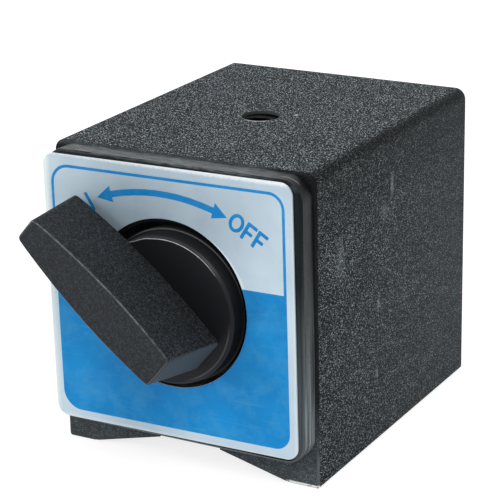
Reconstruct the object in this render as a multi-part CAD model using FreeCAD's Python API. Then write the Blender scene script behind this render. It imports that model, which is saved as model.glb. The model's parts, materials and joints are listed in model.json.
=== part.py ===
import FreeCAD
import Part

import math
import os

# Switchable magnetic base: two iron pole blocks with a non-magnetic filling between them,
# a magnet rotor in a bore that runs from front to back, and a pointer knob that turns the
# rotor a quarter turn. X is to the right, Y to the rear, Z up, all sizes in millimetres.
# The knob is at -Y. The base stands on the floor at Z = 0, centred on X = 0, and Y = 0 is
# halfway along the whole length, knob included.

# Block
body_width = 50.0
body_depth = 60.0
body_height = 55.0
foot_width = 5.0
vee_rise = 3.5
pole_gap = 12.0
slot_ceiling = 9.0
top_edge_radius = 2.0
eased_edge = 0.35
bore_radius = 15.0
bore_drop = 2.0

# Threaded hole for the post, cut for M8
post_drill_radius = 3.4
post_from_front = 27.5
post_floor = 0.6
drill_point_angle = 118.0

# Front cover and its label
cover_inset = 0.6
cover_top_drop = 0.35
cover_bottom = 5.6
cover_thickness = 4.0
cover_corner_radius = 3.8
cover_edge_chamfer = 0.5
cover_hole_radius = 14.8
cover_floor = 1.0
cover_floor_gap = 1.5
label_margin = 0.67
label_thickness = 0.3
label_corner_radius = 2.2
label_hole_gap = 0.05
label_shift = -0.57
label_lift = 0.1
label_hole_lift = 0.4
label_turn = 0.6

# Cheese-head cover screws, one in each corner, sunk in counterbores under the label
screw_radius = 1.25
screw_head_radius = 2.25
screw_head_height = 1.6
screw_length = 9.0
screw_inset = 4.9
screw_clearance = 0.1

# Knob: a stepped disc that stands in the cover's hole, with a drafted pointer bar on it
knob_back_gap = 0.3
flange_side_gap = 1.3
flange_drop = 0.5
disc_step = 0.4
disc_draft = 0.15
disc_chamfer = 0.45
disc_rise = 2.3
pointer_height = 12.8
pointer_angle = 49.4
pointer_reach = 24.5
pointer_tail = 10.4
pointer_tip_draft = 0.5
pointer_tail_draft = 2.1
pointer_side_draft = 0.37
pointer_half_width = 4.5
pointer_side_radius = 131.6
pointer_bulge_at = 3.7
pointer_corner_radius = 0.9
pointer_chamfer = 0.3

# Rotor
rotor_air_gap = 0.25
magnet_thickness = 12.0
magnet_recess = 0.9
hub_flange_thickness = 4.0
journal_radius = 9.0
rear_journal_radius = 6.0
rear_journal_length = 3.6
journal_clearance = 0.05
shank_width = 10.0
shank_cover = 1.6
shank_clearance = 0.03
rivet_radius = 1.5
rivet_clearance = 0.05
end_play = 0.3

# Bearings and stop
bush_length = 5.0
washer_thickness = 0.5
washer_inner_radius = 8.0
washer_side_gap = 2.0
plug_length = 5.4
plug_recess = 0.5
stop_pin_radius = 1.5
stop_pin_seat = 3.0
stop_pin_reach = 1.7
stop_side_gap = 0.3
stop_groove_floor_gap = 0.4
quarter_turn = 90.0

# Places worked out from the sizes above
bore_height = (body_height + slot_ceiling) / 2 - bore_drop
label_front = cover_thickness + label_thickness
knob_back = cover_floor + knob_back_gap
flange_top = cover_thickness - flange_drop
flange_radius = cover_hole_radius - flange_side_gap
disc_base_radius = flange_radius - disc_step
disc_top = label_front + disc_rise
knob_front = disc_top + pointer_height
overall_depth = body_depth + knob_front
front_y = overall_depth / -2 + knob_front
half_width = body_width / 2
half_gap = pole_gap / 2
cover_top = body_height - cover_top_drop
cover_half_width = half_width - cover_inset
cover_middle = (cover_top + cover_bottom) / 2
cover_half_height = (cover_top - cover_bottom) / 2
cover_floor_radius = journal_radius + cover_floor_gap
screw_x = cover_half_width - screw_inset
screw_z = cover_half_height - screw_inset
rotor_radius = bore_radius - rotor_air_gap
magnet_corner = rotor_radius - magnet_recess
magnet_half_height = math.sqrt(magnet_corner ** 2 - (magnet_thickness / 2) ** 2)
hub_front = bush_length + end_play
shoe_front = hub_front + hub_flange_thickness
plug_rear = body_depth - plug_recess
plug_front = plug_rear - plug_length
washer_front = plug_front - washer_thickness
hub_rear = washer_front - end_play
shoe_rear = hub_rear - hub_flange_thickness
stop_radius = (journal_radius + rotor_radius) / 2
stop_angle = quarter_turn / 2
rivet_x = (magnet_thickness / 2 + rotor_radius) / 2
overlap = 1.0


def at(x, depth, z):
    """A point, with its depth counted to the rear from the block's front face."""
    return FreeCAD.Vector(x, front_y + depth, z)


def block(x0, x1, depth0, depth1, z0, z1):
    """A box between two depths."""
    return Part.makeBox(x1 - x0, depth1 - depth0, z1 - z0, at(x0, depth0, z0))


def rod(radius, depth0, depth1, x=0.0, z=bore_height):
    """A cylinder that runs from front to back."""
    return Part.makeCylinder(radius, depth1 - depth0, at(x, depth0, z), FreeCAD.Vector(0, 1, 0))


def lathed(profile, x=0.0, z=bore_height):
    """A turned solid on a front-to-back axis, from points of radius and depth."""
    points = [at(x + radius, depth, z) for radius, depth in profile]
    face = Part.Face(Part.makePolygon(points + points[:1]))
    return face.revolve(at(x, 0, z), FreeCAD.Vector(0, 1, 0), 360)


def turned(solid, angle, x=0.0, z=bore_height):
    """The solid turned about a front-to-back axis, clockwise as seen from the front."""
    copy = solid.copy()
    copy.rotate(at(x, 0, z), FreeCAD.Vector(0, 1, 0), angle)
    return copy


def rounded_rectangle(half_x, half_z, radius, depth, centre_x, centre_z):
    """A wire with rounded corners, in a plane that faces the front."""
    bend = radius * (1 - math.sqrt(0.5))
    corners = []
    for side_x, side_z in ((1, 1), (-1, 1), (-1, -1), (1, -1)):
        x = centre_x + side_x * half_x
        z = centre_z + side_z * half_z
        upright = at(x, depth, z - side_z * radius)
        level = at(x - side_x * radius, depth, z)
        middle = at(x - side_x * bend, depth, z - side_z * bend)
        if side_x == side_z:
            corners.append((upright, middle, level))
        else:
            corners.append((level, middle, upright))
    edges = []
    for index, (start, middle, end) in enumerate(corners):
        edges.append(Part.Arc(start, middle, end).toShape())
        following = corners[(index + 1) % len(corners)][0]
        edges.append(Part.LineSegment(end, following).toShape())
    return Part.Wire(edges)


def extruded(wire, depth):
    """A solid from a wire, drawn out to the rear."""
    return Part.Face(wire).extrude(FreeCAD.Vector(0, depth, 0))


def screw_places():
    """The four corners that the cover is held by."""
    places = []
    for side_z in (1, -1):
        for side_x in (-1, 1):
            places.append((side_x * screw_x, cover_middle + side_z * screw_z))
    return places


def outer_form():
    """The block's outside: two rounded long top edges, all the others eased."""
    solid = block(-half_width, half_width, 0, body_depth, 0, body_height)
    long_edges = [e for e in solid.Edges if e.BoundBox.YLength > overlap]
    top = [e for e in long_edges if e.BoundBox.ZMin > body_height / 2]
    solid = solid.makeFillet(top_edge_radius, top)
    others = []
    for edge in solid.Edges:
        box = edge.BoundBox
        if box.YLength < eased_edge or box.ZMax < eased_edge:
            others.append(edge)
    return solid.makeChamfer(eased_edge, others)


def pole_block(side):
    """One iron pole: a foot, half of the shallow vee and a rounded top edge."""
    outer = side * half_width
    inner = side * half_gap
    corners = [
        at(outer, 0, body_height),
        at(inner, 0, body_height),
        at(inner, 0, vee_rise),
        at(outer - side * foot_width, 0, 0),
        at(outer, 0, 0),
    ]
    prism = extruded(Part.makePolygon(corners + corners[:1]), body_depth)
    solid = prism.common(outer_form()).cut(main_bore())
    for x, z in screw_places():
        if x * side > 0:
            depth = screw_length - cover_thickness + overlap
            solid = solid.cut(rod(screw_radius + screw_clearance, 0, depth, x, z))
    return solid


def main_bore():
    """The bore through the block."""
    return rod(bore_radius, -overlap, body_depth + overlap)


def upper_separator():
    """The filling above the bore, which carries the whole threaded hole."""
    solid = block(-half_gap, half_gap, 0, body_depth, bore_height, body_height)
    solid = solid.common(outer_form()).cut(main_bore())
    point = post_drill_radius / math.tan(math.radians(drill_point_angle / 2))
    tip = bore_height + bore_radius + post_floor
    up = FreeCAD.Vector(0, 0, 1)
    centre = at(0, post_from_front, tip)
    drill_point = Part.makeCone(0, post_drill_radius, point, centre, up)
    start = at(0, post_from_front, tip + point)
    drilled = Part.makeCylinder(post_drill_radius, body_height - tip - point, start, up)
    return solid.cut(drill_point.fuse(drilled))


def lower_separator():
    """The filling below the bore. Its underside is the ceiling of the slot."""
    solid = block(-half_gap, half_gap, 0, body_depth, slot_ceiling, bore_height)
    return solid.cut(main_bore())


def headed(length, x, z, clearance=0.0):
    """A cheese-head screw, flush with the cover's front, or the stepped hole for one."""
    head = screw_head_radius + clearance
    shank = screw_radius + clearance
    seat = screw_head_height - cover_thickness
    profile = (
        (0, -cover_thickness),
        (head, -cover_thickness),
        (head, seat),
        (shank, seat),
        (shank, length - cover_thickness),
        (0, length - cover_thickness),
    )
    return lathed(profile, x, z)


def front_cover():
    """The moulded cover: a shallow cup for the knob, with a hole in its floor for the journal."""
    outline = rounded_rectangle(
        cover_half_width,
        cover_half_height,
        cover_corner_radius,
        -cover_thickness,
        0,
        cover_middle,
    )
    solid = extruded(outline, cover_thickness)
    rim = [e for e in solid.Edges if e.BoundBox.YMax < front_y - cover_thickness / 2]
    solid = solid.makeChamfer(cover_edge_chamfer, rim)
    solid = solid.cut(rod(cover_hole_radius, -cover_thickness - overlap, -cover_floor))
    solid = solid.cut(rod(cover_floor_radius, -cover_floor - overlap, overlap))
    for x, z in screw_places():
        solid = solid.cut(headed(cover_thickness + overlap, x, z, screw_clearance))
    return solid


def face_label():
    """The thin label, stuck on a little to the left and askew."""
    centre_z = cover_middle + label_lift
    outline = rounded_rectangle(
        cover_half_width - label_margin,
        cover_half_height - label_margin,
        label_corner_radius,
        -label_front,
        label_shift,
        centre_z,
    )
    film = extruded(outline, label_thickness)
    hole_radius = cover_hole_radius + label_hole_gap
    hole_z = bore_height + label_hole_lift
    film = film.cut(rod(hole_radius, -label_front - overlap, 0, label_shift, hole_z))
    return turned(film, -label_turn, label_shift, centre_z)


def cover_screw(x, z):
    """One screw, with its head flush with the cover."""
    return headed(screw_length, x, z)


def stop_place():
    """Where the stop pin stands, seen from the front."""
    angle = math.radians(stop_angle)
    return stop_radius * math.sin(angle), bore_height + stop_radius * math.cos(angle)


def front_bush():
    """The front bearing ring, pressed in flush with the block, with a hole for the stop pin."""
    inner = journal_radius + journal_clearance
    profile = ((inner, 0), (bore_radius, 0), (bore_radius, bush_length), (inner, bush_length))
    x, z = stop_place()
    seat = rod(stop_pin_radius, bush_length - stop_pin_seat, bush_length + overlap, x, z)
    return lathed(profile).cut(seat)


def stop_pin():
    """The pin that ends the knob's travel."""
    x, z = stop_place()
    start = bush_length - stop_pin_seat
    return rod(stop_pin_radius, start, hub_front + stop_pin_reach, x, z)


def rear_plug():
    """The cap in the rear end of the bore, with the rear bearing on its inner side."""
    inner = rear_journal_radius + journal_clearance
    bearing_end = hub_rear + rear_journal_length + end_play
    profile = (
        (0, bearing_end),
        (inner, bearing_end),
        (inner, plug_front),
        (bore_radius, plug_front),
        (bore_radius, plug_rear),
        (0, plug_rear),
    )
    return lathed(profile)


def thrust_washer():
    """The washer that the rear hub runs against."""
    inner = washer_inner_radius
    outer = bore_radius - washer_side_gap
    profile = (
        (inner, washer_front),
        (outer, washer_front),
        (outer, plug_front),
        (inner, plug_front),
    )
    return lathed(profile)


def stop_groove():
    """The quarter-turn groove that the stop pin rides in."""
    half = stop_pin_radius + stop_side_gap
    depth = hub_front + stop_pin_reach + stop_groove_floor_gap
    front = hub_front - overlap
    band = rod(stop_radius + half, front, depth).cut(rod(stop_radius - half, front, depth))
    reach = rotor_radius * 2
    corners = [at(0, front, bore_height)]
    for angle in (-stop_angle, 0, stop_angle):
        direction = math.radians(angle)
        corners.append(
            at(reach * math.sin(direction), front, bore_height + reach * math.cos(direction))
        )
    corners.append(corners[0])
    sector = Part.Face(Part.makePolygon(corners)).extrude(FreeCAD.Vector(0, depth - front, 0))
    groove = band.common(sector)
    x, z = stop_place()
    for side in (-1, 1):
        groove = groove.fuse(rod(half, front, depth, side * x, z))
    return groove


def rotor_rivet(side):
    """A rivet that holds both hubs to a pole shoe, closed flush with them."""
    return rod(rivet_radius, hub_front, hub_rear, side * rivet_x)


def rivet_holes():
    """The holes for both rivets, with a little play around them."""
    holes = []
    for side in (-1, 1):
        radius = rivet_radius + rivet_clearance
        holes.append(rod(radius, hub_front, hub_rear, side * rivet_x))
    return holes[0].fuse(holes[1])


def drive_hub():
    """The front hub: flange with the stop groove, bearing journal and square shank."""
    profile = (
        (0, 0),
        (journal_radius, 0),
        (journal_radius, hub_front),
        (rotor_radius, hub_front),
        (rotor_radius, shoe_front),
        (0, shoe_front),
    )
    half = shank_width / 2
    reach = disc_top - shank_cover
    shank = block(-half, half, -reach, 0, bore_height - half, bore_height + half)
    hub = lathed(profile).fuse(turned(shank, -pointer_angle))
    return hub.cut(stop_groove()).cut(rivet_holes())


def rear_hub():
    """The rear hub: flange and rear bearing journal."""
    end = hub_rear + rear_journal_length
    profile = (
        (0, shoe_rear),
        (rotor_radius, shoe_rear),
        (rotor_radius, hub_rear),
        (rear_journal_radius, hub_rear),
        (rear_journal_radius, end),
        (0, end),
    )
    return lathed(profile).cut(rivet_holes())


def rotor_shoe(side):
    """A pole shoe: the D-shaped piece of soft iron beside the magnet."""
    half = magnet_thickness / 2
    outer = rotor_radius + overlap
    x0, x1 = sorted((side * half, side * outer))
    keep = block(x0, x1, shoe_front, shoe_rear, bore_height - outer, bore_height + outer)
    shoe = rod(rotor_radius, shoe_front, shoe_rear).common(keep)
    return shoe.cut(rivet_holes())


def rotor_magnet():
    """The magnet slab between the shoes, magnetised from side to side."""
    half = magnet_thickness / 2
    low = bore_height - magnet_half_height
    high = bore_height + magnet_half_height
    return block(-half, half, shoe_front, shoe_rear, low, high)


def pointer_foot():
    """The pointer's outline at its foot, round Z = 0: two bowed sides and four round corners."""
    wide = pointer_half_width + overlap
    slab = block(-wide, wide, -disc_top - overlap, -disc_top, -pointer_tail, pointer_reach)
    for side in (-1, 1):
        x = side * (pointer_half_width - pointer_side_radius)
        bow = rod(pointer_side_radius, -disc_top - overlap, -disc_top, x, pointer_bulge_at)
        slab = slab.common(bow)
    corners = [e for e in slab.Edges if e.BoundBox.YLength > overlap / 2]
    slab = slab.makeFillet(pointer_corner_radius, corners)
    foot_y = front_y - disc_top - overlap / 2
    return [face for face in slab.Faces if face.BoundBox.YMin > foot_y][0]


def pointer():
    """The pointer bar, upright. Each draft is drawn in its own slanted direction."""
    foot = pointer_foot()
    bar = None
    for across in (-pointer_side_draft, pointer_side_draft):
        for along in (-pointer_tip_draft, pointer_tail_draft):
            drawn = foot.extrude(FreeCAD.Vector(across, -pointer_height, along))
            bar = drawn if bar is None else bar.common(drawn)
    front = front_y - knob_front + pointer_chamfer
    rim = [e for e in bar.Edges if e.BoundBox.YMax < front]
    return bar.makeChamfer(pointer_chamfer, rim).translated(FreeCAD.Vector(0, 0, bore_height))


def knob_disc():
    """The stepped disc."""
    wall_top = disc_base_radius - disc_draft
    profile = (
        (0, -knob_back),
        (flange_radius, -knob_back),
        (flange_radius, -flange_top),
        (disc_base_radius, -flange_top),
        (wall_top, disc_chamfer - disc_top),
        (wall_top - disc_chamfer, -disc_top),
        (0, -disc_top),
    )
    return lathed(profile)


def knob():
    """Disc and pointer in one moulding, with a square socket for the drive hub."""
    half = shank_width / 2 + shank_clearance
    top = disc_top - shank_cover + shank_clearance
    socket = block(-half, half, -top, overlap, bore_height - half, bore_height + half)
    solid = knob_disc().fuse(pointer()).cut(socket)
    return turned(solid, -pointer_angle)


def sub_parts():
    """Every sub-part, by its node's name."""
    parts = {
        "left_pole_block": pole_block(-1),
        "right_pole_block": pole_block(1),
        "upper_separator": upper_separator(),
        "lower_separator": lower_separator(),
        "front_cover": front_cover(),
        "face_label": face_label(),
        "front_bush": front_bush(),
        "stop_pin": stop_pin(),
        "thrust_washer": thrust_washer(),
        "rear_plug": rear_plug(),
        "knob": knob(),
        "drive_hub": drive_hub(),
        "rear_hub": rear_hub(),
        "rotor_magnet": rotor_magnet(),
        "left_rotor_shoe": rotor_shoe(-1),
        "right_rotor_shoe": rotor_shoe(1),
        "left_rotor_rivet": rotor_rivet(-1),
        "right_rotor_rivet": rotor_rivet(1),
    }
    for number, (x, z) in enumerate(screw_places(), start=1):
        parts["cover_screw_" + str(number)] = cover_screw(x, z)
    return parts


os.makedirs("parts", exist_ok=True)
for name, shape in sub_parts().items():
    solid = shape.removeSplitter()
    solid.exportStep("parts/" + name + ".step")
    print(name, len(solid.Solids), round(solid.Volume, 1), solid.isValid())
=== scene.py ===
import json
import math

import bmesh
import bpy
from mathutils import Matrix, Vector


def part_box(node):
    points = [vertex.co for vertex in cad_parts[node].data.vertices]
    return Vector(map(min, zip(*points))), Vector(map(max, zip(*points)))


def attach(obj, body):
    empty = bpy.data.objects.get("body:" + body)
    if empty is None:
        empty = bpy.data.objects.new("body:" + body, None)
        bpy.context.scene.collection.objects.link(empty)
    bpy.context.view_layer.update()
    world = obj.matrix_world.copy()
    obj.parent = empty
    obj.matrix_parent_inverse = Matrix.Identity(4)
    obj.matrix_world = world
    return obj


# The looks of a magnetic base: wrinkle paint on the iron block, satin plastic on the cover
# and knob, a printed label, and the light and camera of the photograph. Lengths are written
# in millimetres and drawn in metres.
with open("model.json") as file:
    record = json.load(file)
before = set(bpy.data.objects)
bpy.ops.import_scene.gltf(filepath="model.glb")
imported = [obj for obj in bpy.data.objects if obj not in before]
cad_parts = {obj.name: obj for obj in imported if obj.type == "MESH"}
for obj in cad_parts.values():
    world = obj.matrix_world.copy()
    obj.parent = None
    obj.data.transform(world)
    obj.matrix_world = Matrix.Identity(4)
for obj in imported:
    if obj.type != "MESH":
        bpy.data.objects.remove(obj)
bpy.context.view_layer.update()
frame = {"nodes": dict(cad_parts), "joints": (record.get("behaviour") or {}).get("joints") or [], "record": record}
nodes = frame["nodes"]
MM = 0.001

# Places taken from the frame, in millimetres
block_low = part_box("left_pole_block")[0] / MM
block_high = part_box("right_pole_block")[1] / MM
cover_low, cover_high = (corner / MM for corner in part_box("front_cover"))
label_low, label_high = (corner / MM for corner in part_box("face_label"))
knob_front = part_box("knob")[0].y / MM
axis_height = next(j for j in frame["joints"] if j["name"] == "knob_turn")["pos_m"][2] / MM
post = next(m for m in frame["record"]["mounts"] if m["name"] == "post_thread")
post_x, post_y, post_middle = (value / MM for value in post["pos_m"])

# Camera, fitted to the corners of the block in the photograph
view_azimuth = 29.33
view_elevation = 18.98
view_roll = -1.18
view_distance = 361.9
view_aim = (-1.34, 4.7, 30.70)
lens_length = 146.1
sensor_width = 36.0

# Lamps: name, place, side of the square and watts; all face a point low over the floor
lamp_aim = (0, 0, 30)
lamps = (
    ("top_light", (-100, 100, 750), 500, 2.05),
    ("left_light", (-600, -650, 300), 500, 3.4),
    ("right_light", (420, -520, 700), 400, 3.0),
)
surround_strength = 0.35
floor_reach = 3000
floor_drop = 0.02
floor_glow = 0.80

# Label print, in the label's own frame: x to the right and z up from the middle of its hole
label_turn = 0.6
print_lift = 0.175
ink_thickness = 0.012
border_left = -22.0
border_right = 22.05
border_bottom = -21.75
border_top = 21.7
border_line = 0.5
border_radius = 3.0
border_right_radius = 2.4
border_step = 9.0
field_top = 4.7
field_hole_radius = 14.86

# Arrow over the knob: its arc and width, and the angles of each head's tip and base
arrow_centre = (-1.27, -15.89)
arrow_radius = 34.95
arrow_band = 1.1
arrow_left = (-19.9, -15.0)
arrow_right = (21.8, 17.35)
arrow_half_width = 1.42

# Words on the label: each letter's width and its place along the line, and the line's height
letter_height = 3.35
letter_stroke = 0.6
letter_corner = 0.12
word_turn = 32.0
off_letters = (("O", 2.75, 3.0), ("F", 2.05, 4.6), ("F", 2.0, 6.9))
off_height = 18.95
on_letters = (("O", 2.75, -7.95), ("N", 2.65, -6.25))
on_height = 19.75

# Painted shade and painted light on the label, across and up the front: the middle and the half sizes of each
painted_shade_above_knob = (-5.5, axis_height + 15.5, 27.0, 13.5)
painted_shade_under_pointer = (-3.0, axis_height - 10.0, 17.0, 13.0)
painted_shade_beside_disc = (14.8, 32.6, 3.4, 4.2)
painted_light_below_divide = (19.2, 29.4, 4.2, 1.3)

# The label's pale cut edge round its hole fades out between these distances from the axis
hole_rim = (14.95, 15.05)

# Knob: the pointer's angle, the disc's front face, and painted highlight bands by distance from the axis
pointer_angle = 49.4
disc_top = knob_front + 12.8
flange_edge_band = (13.28, 13.42)
disc_edge_band = (12.2, 12.35)
disc_sheen_band = (12.55, 12.95)

# Lip on the disc: it starts at a place from the axis and follows two arcs, each given by its
# radius and its first and last angle
lip_radius = 0.07
lip_start = (-6.9, 11.0)
lip_bend = (12.62, -25.5, -14.0)
lip_round = (12.5, -8.0, 52.0)
lip_step = 2.0

# Wrinkle paint: the noise's range from black to a grain's tip, and the share of light where
# the grains melt into one tone, to the rear and in front, lighter there as painted light
paint_low = 0.62
paint_high = 0.80
paint_mean = 0.132
painted_light_front = 0.145
grain_size = 0.24

# Rubbed places on the right side: place and half size along the side and upwards, and strength
paint_creases = (
    (8.0, 45.5, 0.8, 3.0, 0.7),
    (5.0, 41.5, 1.6, 2.2, 0.4),
    (-12.0, 38.0, 2.4, 5.0, 0.3),
    (2.5, 25.5, 0.6, 1.6, 0.9),
    (2.0, 13.0, 0.7, 1.4, 0.7),
)

# On top of the block: a light fleck beside the hole, and the way to its rim's painted highlight
fleck_place = (5.4, 10.2)
fleck_radius = 0.35
rim_highlight_towards = (0.49, -0.87)

# Thread in the post hole: its ridge starts and ends short of the hole's ends
thread_pitch = 1.25
thread_outer = 3.42
thread_inner = 3.1
thread_from_bottom = 0.7
thread_from_top = 1.0
thread_half_foot = 0.42 * thread_pitch
thread_half_crest = 0.08
thread_steps = 32

# Colours that several finishes use
deep_black = (0.0045, 0.0050, 0.0055, 1)
white = (1, 1, 1, 1)


def display(red, green, blue):
    """A colour given as 0 to 255 on a display, as the linear colour that a node takes."""
    parts = []
    for value in (red, green, blue):
        share = value / 255
        parts.append(share / 12.92 if share <= 0.04045 else ((share + 0.055) / 1.055) ** 2.4)
    return (*parts, 1.0)


class Finish:
    """A material while it is put together from nodes."""

    def __init__(self, name):
        self.material = bpy.data.materials.new(name)
        self.material.use_nodes = True
        self.tree = self.material.node_tree
        self.shader = self.tree.nodes["Principled BSDF"]
        coordinates = self.node("TexCoord").outputs
        self.place = coordinates["Object"]
        self.facing = coordinates["Normal"]

    def node(self, kind, inputs=None, **settings):
        """A new node, with its settings and with its inputs joined or set."""
        made = self.tree.nodes.new("ShaderNode" + kind)
        for name, value in settings.items():
            setattr(made, name, value)
        for name, value in (inputs or {}).items():
            self.feed(made.inputs[name], value)
        return made

    def feed(self, socket, value):
        """Joins another node's output to a socket, or sets the socket's own value."""
        if isinstance(value, bpy.types.NodeSocket):
            self.tree.links.new(value, socket)
        else:
            socket.default_value = value

    def set(self, **sockets):
        """Sets or joins the shader's sockets, named with underscores for spaces."""
        for name, value in sockets.items():
            self.feed(self.shader.inputs[name.replace("_", " ")], value)

    def axes(self):
        """The three coordinates of the place, in metres."""
        parts = self.node("SeparateXYZ", {"Vector": self.place}).outputs
        return parts["X"], parts["Y"], parts["Z"]

    def normals(self):
        """The three parts of the direction that the surface faces."""
        parts = self.node("SeparateXYZ", {"Vector": self.facing}).outputs
        return parts["X"], parts["Y"], parts["Z"]

    def stretched(self, scale, turn=(0.0, 0.0, 0.0)):
        """The place turned by degrees about each axis and scaled, for a grain with a way."""
        rotation = tuple(math.radians(degrees) for degrees in turn)
        inputs = {"Vector": self.place, "Rotation": rotation, "Scale": scale}
        return self.node("Mapping", inputs).outputs["Vector"]

    def noise(self, size, detail=2.0, roughness=0.5, place=None):
        """Noise with features about so many millimetres across, from 0 to 1."""
        inputs = {
            "Vector": place or self.place,
            "Scale": 1 / (size * MM),
            "Detail": detail,
            "Roughness": roughness,
        }
        return self.node("TexNoise", inputs).outputs["Fac"]

    def math(self, operation, first, second=0.0):
        """One sum on values that vary over the surface."""
        made = self.node("Math", operation=operation)
        self.feed(made.inputs[0], first)
        self.feed(made.inputs[1], second)
        return made.outputs[0]

    def product(self, *values):
        """All the values multiplied."""
        result = values[0]
        for value in values[1:]:
            result = self.math("MULTIPLY", result, value)
        return result

    def largest(self, *values):
        """The largest of the values."""
        result = values[0]
        for value in values[1:]:
            result = self.math("MAXIMUM", result, value)
        return result

    def spread(self, value, low, high, to_low=0.0, to_high=1.0):
        """A value's range from low to high, stretched to another and held at its ends."""
        inputs = {
            "Value": value,
            "From Min": low,
            "From Max": high,
            "To Min": to_low,
            "To Max": to_high,
        }
        return self.node("MapRange", inputs).outputs["Result"]

    def window(self, value, low, high, soft):
        """1 where a value lies between two places in millimetres, fading over the soft ends."""
        rise = self.spread(value, (low - soft) * MM, low * MM)
        fall = self.spread(value, high * MM, (high + soft) * MM, 1.0, 0.0)
        return self.math("MULTIPLY", rise, fall)

    def turned_between(self, turn, start, full, last, end):
        """1 from the full angle to the last, fading to 0 at the start and the end."""
        rise = self.spread(turn, start, full)
        fall = self.spread(turn, last, end, 1.0, 0.0)
        return self.math("MULTIPLY", rise, fall)

    def between(self, share, first, second):
        """Two numbers mixed by a share that varies over the surface."""
        kept = self.math("MULTIPLY", first, self.math("SUBTRACT", 1.0, share))
        return self.math("ADD", kept, self.math("MULTIPLY", share, second))

    def mixed(self, share, first, second):
        """Two colours mixed by a share that varies over the surface."""
        made = self.node("Mix", data_type="RGBA")
        self.feed(made.inputs["Factor"], share)
        self.feed(made.inputs["A"], first)
        self.feed(made.inputs["B"], second)
        return made.outputs["Result"]

    def dab(self, across, up, at_across, at_up, half_across, half_up):
        """1 at a place given by two coordinates, fading to 0 round it, sizes in millimetres."""
        u = self.math("DIVIDE", self.math("SUBTRACT", across, at_across * MM), half_across * MM)
        v = self.math("DIVIDE", self.math("SUBTRACT", up, at_up * MM), half_up * MM)
        square = self.math("ADD", self.math("MULTIPLY", u, u), self.math("MULTIPLY", v, v))
        return self.spread(self.math("SQRT", square), 0.0, 1.0, 1.0, 0.0)

    def spot(self, x, z, half_x, half_z, core=0.0):
        """1 over the core of an ellipse on the front, fading to 0 at its rim."""
        across, _, up = self.axes()
        return self.spread(self.dab(across, up, x, z, half_x, half_z), 0.0, 1.0 - core)

    def polar(self):
        """Distance from the knob's axis, and the angle in degrees clockwise from straight up."""
        x, _, height = self.axes()
        z = self.math("SUBTRACT", height, axis_height * MM)
        square = self.math("ADD", self.math("MULTIPLY", x, x), self.math("MULTIPLY", z, z))
        angle = self.math("MULTIPLY", self.math("ARCTAN2", x, z), math.degrees(1))
        return self.math("SQRT", square), angle

    def bump(self, height, depth, strength=1.0):
        """A normal from a height of 0 to 1 that stands for so many millimetres."""
        inputs = {"Height": height, "Distance": depth * MM, "Strength": strength}
        return self.node("Bump", inputs).outputs["Normal"]


def paint_shade(finish, height, fine):
    """How light the wrinkle paint is, from its grains' height and their fine part."""
    _, y, z = finish.axes()
    normal_x, normal_y, _ = finish.normals()
    sideways = finish.math("ABSOLUTE", normal_x)
    tips = finish.spread(height, paint_low, paint_high)
    rearward = finish.spread(y, block_low.y * MM, block_high.y * MM)
    even = finish.between(finish.product(sideways, rearward, 0.55), tips, paint_mean)
    # Painted light: on the front the grains melt into one lighter tone
    in_front = finish.math("MULTIPLY", finish.spread(normal_y, -0.3, -0.6), 0.72)
    even = finish.between(in_front, even, painted_light_front)

    cloud = finish.spread(finish.noise(7.0, detail=3.0), 0.3, 0.7, 0.90, 1.10)
    slanted = finish.stretched((1.0, 0.22, 1.0), turn=(-50.0, 0.0, 0.0))
    folds = finish.spread(finish.noise(1.3, detail=2.0, place=slanted), 0.3, 0.7, 0.82, 1.18)
    # Painted shade on the sides high up, below the rounded top edges
    shade_high_up = finish.product(sideways, finish.spread(z, 42 * MM, 49 * MM), 0.35)
    shade = finish.product(even, cloud, folds, finish.math("SUBTRACT", 1.0, shade_high_up))

    on_right = finish.spread(normal_x, 0.5, 0.9)
    for crease_y, crease_z, half_y, half_z, share in paint_creases:
        mark = finish.dab(y, z, crease_y, crease_z, half_y, half_z)
        shade = finish.math("ADD", shade, finish.product(mark, on_right, share, fine))
    return shade


def paint_round_hole(finish, paint):
    """The paint with the hole's mouth in painted shade and a painted highlight on its near rim."""
    x, y, z = finish.axes()
    over = finish.node("CombineXYZ", {"X": x, "Y": y}).outputs["Vector"]
    middle = (post_x * MM, post_y * MM, 0)
    from_post = finish.node("VectorMath", {0: over, 1: middle}, operation="DISTANCE")
    distance = from_post.outputs["Value"]
    beside = finish.math("SUBTRACT", y, post_y * MM)
    towards_corner = finish.math(
        "ADD",
        finish.math("MULTIPLY", x, rim_highlight_towards[0]),
        finish.math("MULTIPLY", beside, rim_highlight_towards[1]),
    )
    # Painted highlight on the near part of the hole's rim
    rim_highlight = finish.product(
        finish.window(distance, thread_outer + 0.03, thread_outer + 0.40, 0.06),
        finish.spread(towards_corner, 2.3 * MM, 2.8 * MM),
        finish.spread(x, 3.0 * MM, 2.4 * MM),
        0.7,
    )
    paint = finish.mixed(rim_highlight, paint, (0.50, 0.50, 0.52, 1))
    # Grey paint a little way into the mouth, and painted shade below it
    under_mouth = finish.spread(z, (block_high.z - 0.45) * MM, (block_high.z - 0.62) * MM)
    mouth = finish.mixed(under_mouth, (0.070, 0.081, 0.086, 1), (0.0015, 0.0015, 0.0016, 1))
    in_hole = finish.spread(distance, (thread_outer + 0.05) * MM, (thread_outer - 0.01) * MM)
    return finish.mixed(in_hole, paint, mouth)


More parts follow.
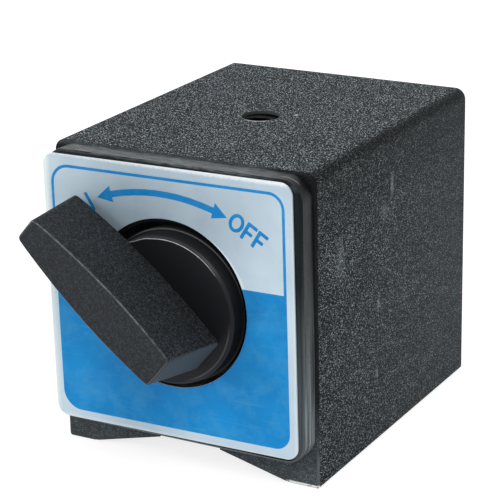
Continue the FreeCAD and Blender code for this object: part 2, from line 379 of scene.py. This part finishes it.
def wrinkle_paint():
    """Black wrinkle paint with light grains, worn to bright iron on the feet."""
    finish = Finish("wrinkle_paint")
    x, y, z = finish.axes()
    normal_x, normal_y, normal_z = finish.normals()
    sideways = finish.math("ABSOLUTE", normal_x)
    lengthways = finish.math("ABSOLUTE", normal_y)
    upright = finish.math("ABSOLUTE", normal_z)
    front = finish.spread(normal_y, -0.3, -0.6)

    wrinkles = finish.stretched((1.12, 0.76, 1.5))
    fine = finish.noise(grain_size, detail=1.0, roughness=0.6, place=wrinkles)
    coarse = finish.noise(0.85, detail=2.0, place=wrinkles)
    height = finish.math("ADD", fine, finish.math("MULTIPLY", coarse, 0.15))
    shade = paint_shade(finish, height, fine)
    paint = finish.mixed(shade, (0.0055, 0.0066, 0.0073, 1), (0.470, 0.548, 0.588, 1))

    # Painted shade: black along the rounded top edges, and round the cover on the front
    rounding_shade = finish.product(sideways, upright, 2.0, finish.spread(normal_z, 0.0, 0.2))
    paint = finish.mixed(finish.math("MULTIPLY", rounding_shade, 0.66), paint, deep_black)
    over_cover = finish.math(
        "MULTIPLY",
        finish.spread(z, (cover_high.z - 0.6) * MM, (cover_high.z - 0.1) * MM),
        finish.spread(x, 18 * MM, 15 * MM),
    )
    shade_beside_cover = finish.product(
        front,
        finish.spread(z, 8 * MM, 16 * MM),
        finish.spread(over_cover, 0.0, 1.0, 0.85, 0.35),
    )
    paint = finish.mixed(shade_beside_cover, paint, deep_black)
    paint = paint_round_hole(finish, paint)

    # A fleck on top, and lighter grey along the low corner edges
    fleck = finish.dab(x, y, *fleck_place, fleck_radius, fleck_radius)
    fleck = finish.math("MULTIPLY", fleck, finish.spread(normal_z, 0.8, 0.9))
    paint = finish.mixed(finish.spread(fleck, 0.05, 0.3), paint, (0.62, 0.66, 0.58, 1))
    low_edge = finish.product(sideways, lengthways, finish.spread(z, 7.0 * MM, 5.0 * MM), 1.2)
    paint = finish.mixed(low_edge, paint, (0.16, 0.18, 0.19, 1))

    # Bare iron in chips at the right foot's front end, and on the soles
    chips = finish.spread(finish.noise(1.1, detail=4.0, roughness=0.7), 0.42, 0.47)
    at_corner = finish.spread(x, 18.3 * MM, 19.6 * MM)
    chips = finish.product(chips, at_corner, finish.window(z, 0.16, 0.58, 0.12), front)
    soles = finish.math(
        "MULTIPLY",
        finish.spread(normal_z, -0.985, -0.995),
        finish.spread(z, 0.4 * MM, 0.2 * MM),
    )
    bare = finish.largest(chips, soles)
    finish.set(
        Base_Color=finish.mixed(bare, paint, (0.66, 0.66, 0.65, 1)),
        Metallic=bare,
        Roughness=finish.spread(bare, 0.0, 1.0, 0.62, 0.35),
        Normal=finish.bump(height, 0.16, strength=finish.spread(bare, 0.0, 1.0, 1.0, 0.1)),
        Specular_IOR_Level=0.04,
    )
    return finish.material


def cover_plastic():
    """The cover's satin black moulding: streaked painted reflections and highlights, faint rubs."""
    finish = Finish("cover_plastic")
    x, y, z = finish.axes()
    normal_x, normal_y, normal_z = finish.normals()
    colour = finish.mixed(
        finish.noise(3.0, detail=4.0), deep_black, (0.009, 0.010, 0.0105, 1)
    )

    # Painted reflections streak the walls grey above and on the sides, most at their low end with
    # painted glints, but not at the upper right corner
    drawn = finish.stretched((0.3, 3.0, 0.06))
    streaks = finish.spread(finish.noise(0.7, detail=3.0, place=drawn), 0.35, 0.70)
    low_side = finish.math(
        "MULTIPLY", finish.math("ABSOLUTE", normal_x), finish.spread(z, 41 * MM, 12 * MM)
    )
    sheen_by_side = finish.math(
        "ADD", low_side, finish.spread(normal_z, 0.2, 0.7, 0.07, 0.55)
    )
    walls = finish.spread(y, (cover_low.y + 0.12) * MM, (cover_low.y + 0.42) * MM)
    corner = finish.product(
        finish.spread(x, 16 * MM, 20 * MM), finish.spread(z, 42 * MM, 48 * MM)
    )
    walls = finish.product(walls, finish.math("SUBTRACT", 1.0, corner))
    wall_sheen = finish.product(walls, streaks, sheen_by_side, 0.85)
    colour = finish.mixed(wall_sheen, colour, (0.265, 0.305, 0.325, 1))
    low_end = finish.product(low_side, walls, finish.spread(z, 17 * MM, 9 * MM))
    glints = finish.spread(finish.noise(0.5, detail=2.0, place=drawn), 0.48, 0.62)
    glints = finish.product(low_end, glints, 0.8)
    colour = finish.mixed(glints, colour, (0.36, 0.41, 0.42, 1))

    # Painted highlights: a lighter right rim in front, and a light line round the upper right corner
    rim = finish.product(
        finish.spread(normal_y, -0.4, -0.8),
        finish.spread(x, 22 * MM, 23 * MM),
        finish.spread(z, 37 * MM, 18 * MM),
    )
    colour = finish.mixed(finish.math("MULTIPLY", rim, 0.62), colour, (0.10, 0.118, 0.126, 1))
    edge = finish.window(y, cover_high.y - 2.2, cover_high.y - 2.0, 0.12)
    at_turn = finish.product(
        finish.spread(x, 19.5 * MM, 20.5 * MM),
        finish.spread(x, 22.6 * MM, 23.3 * MM, 1.0, 0.0),
        finish.spread(z, 49.5 * MM, 50.5 * MM),
    )
    colour = finish.mixed(finish.product(edge, at_turn, 0.4), colour, (0.34, 0.37, 0.38, 1))

    rubs = finish.spread(finish.noise(1.2, detail=5.0, roughness=0.7), 0.62, 0.74)
    rubs = finish.math("MULTIPLY", rubs, 0.25)
    finish.set(
        Base_Color=finish.mixed(rubs, colour, (0.10, 0.11, 0.11, 1)),
        Roughness=finish.spread(finish.noise(0.8, detail=3.0), 0.3, 0.7, 0.26, 0.38),
        Normal=finish.bump(finish.noise(0.6, detail=2.0), 0.008),
        Specular_IOR_Level=0.12,
        Specular_Tint=(0.72, 0.92, 1.0, 1),
    )
    return finish.material


def label_gloss(finish):
    """The uneven satin gloss that the label's film has over paper and ink alike."""
    finish.set(
        Roughness=finish.spread(finish.noise(5.0, detail=3.0), 0.3, 0.7, 0.30, 0.42),
        Normal=finish.bump(finish.noise(9.0, detail=2.0), 0.10),
        Specular_IOR_Level=0.15,
    )


def label_shade(finish):
    """How far the film is greyed: mottled all over, and most above the knob as painted shade."""
    mottle = finish.spread(finish.noise(4.0, detail=3.0), 0.45, 0.75)
    above = finish.spot(*painted_shade_above_knob)
    return finish.math(
        "ADD", finish.math("MULTIPLY", above, 0.68), finish.math("MULTIPLY", mottle, 0.10)
    )


def label_film():
    """The label's pale ground, with painted shade, a frosted strip on the left and white cut edges."""
    finish = Finish("label_film")
    x, _, z = finish.axes()
    cloud = finish.spread(finish.noise(14.0, detail=2.0), 0.35, 0.65)
    pale = finish.mixed(cloud, display(186, 205, 217), display(204, 222, 233))
    # Painted shade: the film greyed, most above the knob
    pale = finish.mixed(label_shade(finish), pale, display(118, 134, 146))

    fray = finish.math("MULTIPLY", finish.noise(0.5, detail=3.0), 0.5 * MM)
    frayed_x = finish.math("ADD", x, fray)
    frosted = finish.spread(
        frayed_x, (label_low.x + 0.7) * MM, (label_low.x + 1.7) * MM, 1.0, 0.0
    )
    pale = finish.mixed(finish.math("MULTIPLY", frosted, 0.9), pale, display(234, 243, 242))

    raised_z = finish.math("ADD", z, fray)
    lowered_z = finish.math("SUBTRACT", z, fray)
    top = finish.spread(raised_z, (label_high.z - 0.55) * MM, label_high.z * MM)
    bottom = finish.spread(lowered_z, (label_low.z + 0.55) * MM, label_low.z * MM)
    right = finish.spread(x, (label_high.x - 0.7) * MM, (label_high.x - 0.3) * MM)
    distance, _ = finish.polar()
    hole = finish.spread(distance, hole_rim[1] * MM, hole_rim[0] * MM)
    edges = finish.largest(
        top,
        finish.math("MULTIPLY", bottom, 0.4),
        finish.math("MULTIPLY", right, 0.35),
        finish.math("MULTIPLY", hole, 0.6),
    )
    finish.set(Base_Color=finish.mixed(edges, pale, display(236, 243, 246)))
    label_gloss(finish)
    return finish.material


def label_ink():
    """The label's blue ink, hazy, with painted shade and painted light in places, and fine scratches."""
    finish = Finish("label_ink")
    cloud = finish.spread(finish.noise(12.0, detail=3.0), 0.3, 0.7)
    blue = finish.mixed(cloud, display(8, 127, 194), display(18, 143, 213))
    haze = finish.spread(finish.noise(5.0, detail=6.0, roughness=0.72), 0.46, 0.72)
    level_way = finish.stretched((0.07, 1.0, 1.0), turn=(0.0, -7.0, 0.0))
    scratches = finish.spread(finish.noise(0.6, detail=3.0, place=level_way), 0.60, 0.72)
    # Haze and scratches are the ink's own; the spots and the film's grey are painted shade and painted light
    tones = (
        (haze, 0.34, (96, 174, 212)),
        (finish.spot(*painted_shade_under_pointer, core=0.3), 0.42, (16, 104, 166)),
        (label_shade(finish), 0.7, (8, 84, 140)),
        (finish.spot(*painted_shade_beside_disc, core=0.5), 0.35, (14, 100, 160)),
        (finish.spot(*painted_light_below_divide), 0.35, (70, 158, 212)),
        (scratches, 0.2, (104, 176, 214)),
    )
    for where, share, tone in tones:
        blue = finish.mixed(finish.math("MULTIPLY", where, share), blue, display(*tone))
    finish.set(Base_Color=blue)
    label_gloss(finish)
    return finish.material


def bar_colour(finish, height, y):
    """The pointer's colour: speckled, with painted light on its front edges and tail end."""
    x, _, z = finish.axes()
    normal_x, _, normal_z = finish.normals()
    sine = math.sin(math.radians(pointer_angle))
    cosine = math.cos(math.radians(pointer_angle))
    on_front = finish.spread(y, (knob_front + 0.06) * MM, (knob_front + 0.02) * MM)
    speckle = finish.math(
        "MULTIPLY",
        finish.spread(height, 0.58, 0.92),
        finish.spread(on_front, 0.0, 1.0, 1.0, 0.55),
    )
    speckle = finish.math("ADD", speckle, finish.math("MULTIPLY", on_front, 0.17))
    bar = finish.mixed(speckle, (0.0050, 0.0060, 0.0070, 1), (0.062, 0.070, 0.078, 1))

    # Painted light on the tail's end face
    above_axis = finish.math("SUBTRACT", z, axis_height * MM)
    along = finish.math(
        "SUBTRACT",
        finish.math("MULTIPLY", above_axis, cosine),
        finish.math("MULTIPLY", x, sine),
    )
    tailward = finish.math(
        "SUBTRACT",
        finish.math("MULTIPLY", normal_x, sine),
        finish.math("MULTIPLY", normal_z, cosine),
    )
    tail = finish.product(
        finish.spread(along, 0.0, -10.0 * MM), finish.spread(tailward, 0.4, 0.8), 0.9
    )
    bar = finish.mixed(tail, bar, (0.070, 0.087, 0.100, 1))

    # Painted highlight along the front edges, patchy and fading towards the tail
    rim = finish.math(
        "MULTIPLY",
        finish.spread(y, (knob_front + 0.01) * MM, (knob_front + 0.04) * MM),
        finish.spread(y, (knob_front + 0.16) * MM, (knob_front + 0.26) * MM, 1.0, 0.0),
    )
    highlight_patches = finish.spread(finish.noise(1.1, detail=3.0), 0.35, 0.6, 0.2, 0.65)
    highlight_patches = finish.math("MULTIPLY", highlight_patches, finish.spread(along, -9 * MM, 0.0, 0.35, 1.0))
    return finish.mixed(finish.math("MULTIPLY", rim, highlight_patches), bar, (0.20, 0.22, 0.23, 1))


def disc_colour(finish):
    """The disc's black, with painted highlights along its edges over part of the way round."""
    distance, turn = finish.polar()
    upper = finish.turned_between(turn, -60.0, -15.0, 45.0, 80.0)
    lower = finish.turned_between(turn, 90.0, 105.0, 145.0, 165.0)
    flange_edge = finish.window(distance, *flange_edge_band, 0.1)
    disc_edge = finish.window(distance, *disc_edge_band, 0.12)
    sheen = finish.window(distance, *disc_sheen_band, 0.2)
    # Painted highlights on the flange's edge and the disc's edge, with a faint painted sheen
    light = finish.largest(
        finish.product(flange_edge, upper, 0.7),
        finish.product(disc_edge, lower, 0.35),
        finish.product(sheen, upper, 0.08),
    )
    return finish.mixed(light, (0.0085, 0.0095, 0.0115, 1), (0.16, 0.17, 0.18, 1))


def knob_plastic():
    """The knob's moulding: a speckled grain on the pointer and a smooth black disc."""
    finish = Finish("knob_plastic")
    _, y, _ = finish.axes()
    fine = finish.noise(grain_size, detail=2.0, roughness=0.6)
    coarse = finish.noise(0.7, detail=2.0)
    height = finish.math("ADD", fine, finish.math("MULTIPLY", coarse, 0.3))
    on_disc = finish.spread(y, (disc_top - 0.08) * MM, (disc_top - 0.02) * MM)
    colour = finish.mixed(on_disc, bar_colour(finish, height, y), disc_colour(finish))
    specks = finish.spread(finish.noise(0.5, detail=2.0), 0.79, 0.83)
    specks = finish.math("MULTIPLY", specks, 0.6)
    smooth = finish.spread(on_disc, 0.0, 1.0, 1.0, 0.03)
    finish.set(
        Base_Color=finish.mixed(specks, colour, (0.3, 0.32, 0.33, 1)),
        Roughness=finish.spread(on_disc, 0.0, 1.0, 0.60, 0.34),
        Normal=finish.bump(height, 0.07, strength=smooth),
        Specular_IOR_Level=0.14,
    )
    return finish.material


def lip_plastic():
    """The thin raised lip on the disc, with a painted highlight along it."""
    finish = Finish("seam_plastic")
    _, turn = finish.polar()
    # Painted highlight along the lip, brightest near the top
    highlight_fade = finish.math(
        "MULTIPLY",
        finish.spread(turn, -34.0, -6.0, 0.45, 1.0),
        finish.spread(turn, 34.0, 52.0, 1.0, 0.25),
    )
    patchy = finish.spread(finish.noise(0.8, detail=3.0), 0.3, 0.6, 0.55, 1.0)
    shade = finish.math("MULTIPLY", highlight_fade, patchy)
    finish.set(
        Base_Color=finish.mixed(shade, (0.02, 0.021, 0.022, 1), (0.50, 0.52, 0.53, 1)),
        Roughness=finish.spread(patchy, 0.5, 1.0, 0.45, 0.3),
        Normal=finish.bump(finish.noise(0.3), 0.01),
    )
    return finish.material


def hole_dark():
    """The threaded hole's dark wall, painted nearly black as painted shade."""
    finish = Finish("hole_dark")
    smear = finish.noise(1.0, detail=3.0)
    finish.set(
        Base_Color=finish.mixed(smear, (0.002, 0.002, 0.002, 1), (0.010, 0.010, 0.011, 1)),
        Roughness=finish.spread(smear, 0.3, 0.7, 0.35, 0.55),
        Specular_IOR_Level=0.2,
        Normal=finish.bump(finish.noise(0.2), 0.01),
    )
    return finish.material


def turned_metal(name, dark, light, roughness, line):
    """Machined metal with fine turning marks, a line's width apart."""
    finish = Finish(name)
    marks = finish.noise(line, detail=3.0, place=finish.stretched((1.0, 8.0, 1.0)))
    cloud = finish.noise(4.0, detail=3.0)
    finish.set(
        Base_Color=finish.mixed(cloud, dark, light),
        Metallic=1.0,
        Roughness=finish.spread(marks, 0.3, 0.7, roughness - 0.08, roughness + 0.08),
        Normal=finish.bump(marks, 0.01),
    )
    return finish.material


finishes = {
    "wrinkle_paint": wrinkle_paint(),
    "cover_plastic": cover_plastic(),
    "label_film": label_film(),
    "knob_plastic": knob_plastic(),
}
metals = (
    ("bearing_brass", (0.58, 0.40, 0.16, 1), (0.72, 0.53, 0.24, 1), 0.32, 0.15),
    ("soft_iron", (0.32, 0.32, 0.33, 1), (0.46, 0.46, 0.47, 1), 0.42, 0.15),
    ("magnet_alloy", (0.10, 0.10, 0.11, 1), (0.18, 0.18, 0.19, 1), 0.5, 0.4),
    ("fastener_steel", (0.42, 0.42, 0.44, 1), (0.58, 0.58, 0.60, 1), 0.28, 0.15),
)
for name, dark, light, roughness, line in metals:
    finishes[name] = turned_metal(name, dark, light, roughness, line)
ink = label_ink()

for sub_part in frame["record"]["subparts"]:
    for slot in nodes[sub_part["node"]].material_slots:
        slot.material = finishes[sub_part["material_slot"]]


def arc(centre, radius, start, end, step=4.0):
    """Points on a circle, with angles in degrees clockwise from straight up."""
    count = max(2, math.ceil(abs(end - start) / step))
    points = []
    for index in range(count + 1):
        angle = math.radians(start + (end - start) * index / count)
        points.append(
            (centre[0] + radius * math.sin(angle), centre[1] + radius * math.cos(angle))
        )
    return points


label_centre = (label_low + label_high) / 2
label_plane = Matrix(
    (
        (1, 0, 0, label_centre.x * MM),
        (0, 0, -1, (label_low.y - ink_thickness / 2) * MM),
        (0, 1, 0, (label_centre.z + print_lift) * MM),
        (0, 0, 0, 1),
    )
) @ Matrix.Rotation(math.radians(label_turn), 4, "Z")


def printed(name, loops):
    """A thin layer of ink on the label, from closed outlines in the label's frame."""
    curve = bpy.data.curves.new(name, "CURVE")
    curve.dimensions = "2D"
    curve.fill_mode = "BOTH"
    curve.extrude = ink_thickness / 2 * MM
    for loop in loops:
        spline = curve.splines.new("POLY")
        spline.points.add(len(loop) - 1)
        for point, (x, z) in zip(spline.points, loop):
            point.co = (x * MM, z * MM, 0, 1)
        spline.use_cyclic_u = True
    outline = bpy.data.objects.new(name + "_outline", curve)
    bpy.context.scene.collection.objects.link(outline)
    shape = outline.evaluated_get(bpy.context.evaluated_depsgraph_get())
    piece = bpy.data.objects.new(name, bpy.data.meshes.new_from_object(shape))
    bpy.data.objects.remove(outline)
    bpy.context.scene.collection.objects.link(piece)
    piece.data.transform(label_plane)
    piece.data.materials.clear()
    piece.data.materials.append(ink)
    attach(piece, "base")


def print_frame():
    """The line round the label and the blue field under the knob, printed as one shape."""
    half = border_line / 2
    left = border_left + half
    right = border_right - half
    top = border_top - half
    low = border_bottom - half
    radius_left = border_radius
    radius_right = border_right_radius
    wide_left = radius_left + border_line
    wide_right = radius_right + border_line
    top_left = (left + radius_left, top - radius_left)
    top_right = (right - radius_right, top - radius_right)
    low_right = (right - radius_right, low + radius_right)
    low_left = (left + radius_left, low + radius_left)

    outer = arc(top_left, wide_left, -90, 0, border_step)
    outer += arc(top_right, wide_right, 0, 90, border_step)
    outer += arc(low_right, wide_right, 90, 180, border_step)
    outer += arc(low_left, wide_left, 180, 270, border_step)

    window = [(left, field_top)]
    window += arc(top_left, radius_left, -90, 0, border_step)
    window += arc(top_right, radius_right, 0, 90, border_step)
    window.append((right, field_top))
    reach = math.degrees(math.acos(field_top / field_hole_radius))
    window += arc((0, 0), field_hole_radius, reach, 360 - reach)
    printed("print_frame", [outer, window])


def print_arrow():
    """The double arrow over the knob, bent to an arc."""
    inner = arrow_radius - arrow_band / 2
    outer = arrow_radius + arrow_band / 2
    left_tip, left_base = arrow_left
    right_tip, right_base = arrow_right
    wide = arrow_radius + arrow_half_width
    narrow = arrow_radius - arrow_half_width
    loop = arc(arrow_centre, outer, left_base, right_base)
    loop += arc(arrow_centre, wide, right_base, right_base)[:1]
    loop += arc(arrow_centre, arrow_radius, right_tip, right_tip)[:1]
    loop += arc(arrow_centre, narrow, right_base, right_base)[:1]
    loop += arc(arrow_centre, inner, right_base, left_base)
    loop += arc(arrow_centre, narrow, left_base, left_base)[:1]
    loop += arc(arrow_centre, arrow_radius, left_tip, left_tip)[:1]
    loop += arc(arrow_centre, wide, left_base, left_base)[:1]
    printed("print_arrow", [loop])


def softened(loop):
    """The outline with each corner cut to a short round."""
    points = []
    for index, corner in enumerate(loop):
        here = Vector(corner)
        following = loop[(index + 1) % len(loop)]
        before = (Vector(loop[index - 1]) - here).normalized() * letter_corner
        after = (Vector(following) - here).normalized() * letter_corner
        points.append(tuple(here + before))
        points.append(tuple(here + (before + after) * 0.3))
        points.append(tuple(here + after))
    return points


def letter_o(width):
    """The two outlines of an O, centred on its width."""
    loops = []
    for shrink in (0, letter_stroke):
        across = width / 2 - shrink
        along = letter_height / 2 - shrink
        loop = []
        for x, z in arc((0, 0), 1.0, 0, 352, step=8.0):
            loop.append((x * across, z * along + letter_height / 2))
        loops.append(loop)
    return loops


def letter_f(width):
    """The outline of an F, from its left side."""
    bar = letter_stroke
    top = letter_height
    middle = top * 0.56
    shorter = width * 0.86
    return [softened([
        (0, 0), (0, top), (width, top), (width, top - bar), (bar, top - bar),
        (bar, middle), (shorter, middle), (shorter, middle - bar), (bar, middle - bar), (bar, 0),
    ])]


def letter_n(width):
    """The outline of an N, from its left side."""
    bar = letter_stroke
    top = letter_height
    slant = bar * 1.15
    return [softened([
        (0, 0), (0, top), (slant, top), (width - bar, slant), (width - bar, top), (width, top),
        (width, 0), (width - slant, 0), (bar, top - slant), (bar, 0),
    ])]


letter_shapes = {"O": letter_o, "F": letter_f, "N": letter_n}


def print_word(name, letters, turn, height):
    """A word on a straight line that is turned about the label's centre."""
    sine = math.sin(math.radians(turn))
    cosine = math.cos(math.radians(turn))
    loops = []
    for letter, width, offset in letters:
        for loop in letter_shapes[letter](width):
            placed = []
            for x, z in loop:
                along = x + offset
                up = z + height
                placed.append((along * cosine + up * sine, up * cosine - along * sine))
            loops.append(placed)
    printed(name, loops)


print_frame()
print_arrow()
print_word("print_off", off_letters, word_turn, off_height)
print_word("print_on", on_letters, -word_turn, on_height)


def swept(name, path, section, material, body):
    """A mesh drawn along a path: each path entry is a place and the section's two axes."""
    form = bmesh.new()
    rings = []
    for centre, first, second in path:
        ring = []
        for u, v in section:
            ring.append(form.verts.new((centre + first * u + second * v) * MM))
        rings.append(ring)
    count = len(section)
    for here, there in zip(rings, rings[1:]):
        for index in range(count):
            following = (index + 1) % count
            form.faces.new((here[index], here[following], there[following], there[index]))
    form.faces.new(rings[0][::-1])
    form.faces.new(rings[-1])
    bmesh.ops.recalc_face_normals(form, faces=form.faces)
    mesh = bpy.data.meshes.new(name)
    form.to_mesh(mesh)
    form.free()
    mesh.shade_smooth()
    mesh.materials.append(material)
    piece = bpy.data.objects.new(name, mesh)
    bpy.context.scene.collection.objects.link(piece)
    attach(piece, body)


def knob_lip():
    """The fine lip near the disc's edge, which bends away to the pointer at its left end."""
    axis = (0, axis_height)
    route = [(lip_start[0], axis_height + lip_start[1])]
    route += arc(axis, *lip_bend, step=lip_step)
    route += arc(axis, *lip_round, step=lip_step)
    points = [Vector((x, disc_top, z)) for x, z in route]
    forward = Vector((0, -1, 0))
    path = []
    for index, centre in enumerate(points):
        ahead = points[min(index + 1, len(points) - 1)]
        behind = points[max(index - 1, 0)]
        along = (ahead - behind).normalized()
        path.append((centre, along.cross(forward), forward))
    section = []
    for index in range(8):
        angle = math.tau * index / 8
        section.append((lip_radius * math.cos(angle), lip_radius * math.sin(angle)))
    swept("knob_seam", path, section, lip_plastic(), "rotor")


def post_thread():
    """The thread's ridge, a helix inside the post hole."""
    low = post_middle - post["dims"]["length_mm"] / 2 + thread_from_bottom
    high = block_high.z - thread_from_top
    count = int((high - low) / thread_pitch * thread_steps)
    path = []
    for index in range(count + 1):
        angle = math.tau * index / thread_steps
        outward = Vector((math.cos(angle), math.sin(angle), 0))
        level = low + thread_pitch * index / thread_steps
        centre = Vector((post_x, post_y, level)) + outward * thread_outer
        path.append((centre, outward, Vector((0, 0, 1))))
    depth = thread_inner - thread_outer
    section = (
        (0, -thread_half_foot),
        (depth, -thread_half_crest),
        (depth, thread_half_crest),
        (0, thread_half_foot),
    )
    swept("post_thread_ridge", path, section, hole_dark(), "base")


knob_lip()
post_thread()


def add_camera():
    """The photograph's camera."""
    azimuth = math.radians(view_azimuth)
    elevation = math.radians(view_elevation)
    roll = math.radians(view_roll)
    back = Vector(
        (
            math.sin(azimuth) * math.cos(elevation),
            -math.cos(azimuth) * math.cos(elevation),
            math.sin(elevation),
        )
    )
    level = (-back).cross(Vector((0, 0, 1))).normalized()
    rise = level.cross(-back)
    side = level * math.cos(roll) + rise * math.sin(roll)
    up = rise * math.cos(roll) - level * math.sin(roll)
    data = bpy.data.cameras.new("camera")
    data.lens = lens_length
    data.sensor_width = sensor_width
    data.clip_start = 10 * MM
    camera = bpy.data.objects.new("camera", data)
    place = Vector(view_aim) + back * view_distance
    turned = Matrix((side, up, back)).transposed().to_4x4()
    camera.matrix_world = Matrix.Translation(place * MM) @ turned
    bpy.context.scene.collection.objects.link(camera)
    bpy.context.scene.camera = camera


def add_lamps():
    """Soft light from above and from both sides in front."""
    aim = Vector(lamp_aim) * MM
    for name, place, side, watts in lamps:
        data = bpy.data.lights.new(name, "AREA")
        data.shape = "SQUARE"
        data.size = side * MM
        data.energy = watts
        lamp = bpy.data.objects.new(name, data)
        lamp.location = Vector(place) * MM
        lamp.rotation_euler = (aim - lamp.location).to_track_quat("-Z", "Y").to_euler()
        bpy.context.scene.collection.objects.link(lamp)


def seen_plainly(tree):
    """1 for what the camera sees, straight, in a reflection or through glass."""
    rays = tree.nodes.new("ShaderNodeLightPath").outputs
    seen = rays["Is Camera Ray"]
    for kind in ("Is Glossy Ray", "Is Transmission Ray"):
        either = tree.nodes.new("ShaderNodeMath")
        either.operation = "MAXIMUM"
        tree.links.new(seen, either.inputs[0])
        tree.links.new(rays[kind], either.inputs[1])
        seen = either.outputs[0]
    return seen


def add_surround():
    """A white background that lights the object softly."""
    world = bpy.data.worlds.new("surround")
    bpy.context.scene.world = world
    world.use_nodes = True
    tree = world.node_tree
    level = tree.nodes.new("ShaderNodeMapRange")
    level.inputs["To Min"].default_value = surround_strength
    level.inputs["To Max"].default_value = 1.0
    tree.links.new(seen_plainly(tree), level.inputs["Value"])
    background = tree.nodes["Background"]
    background.inputs["Color"].default_value = white
    tree.links.new(level.outputs["Result"], background.inputs["Strength"])


def add_floor():
    """A pale floor that looks nearly white and keeps the object's shadow."""
    mesh = bpy.data.meshes.new("floor")
    form = bmesh.new()
    bmesh.ops.create_grid(form, x_segments=1, y_segments=1, size=floor_reach * MM)
    form.to_mesh(mesh)
    form.free()
    floor = bpy.data.objects.new("floor", mesh)
    floor.location.z = -floor_drop * MM
    bpy.context.scene.collection.objects.link(floor)
    finish = Finish("floor_paper")
    seen = seen_plainly(finish.tree)
    finish.set(
        Base_Color=finish.mixed(seen, (0.82, 0.83, 0.84, 1), (0.42, 0.42, 0.42, 1)),
        Roughness=0.9,
        Specular_IOR_Level=0.0,
        Emission_Color=white,
        Emission_Strength=finish.math("MULTIPLY", seen, floor_glow),
    )
    mesh.materials.append(finish.material)


add_camera()
add_lamps()
add_surround()
add_floor()
bpy.context.scene.view_settings.view_transform = "Standard"
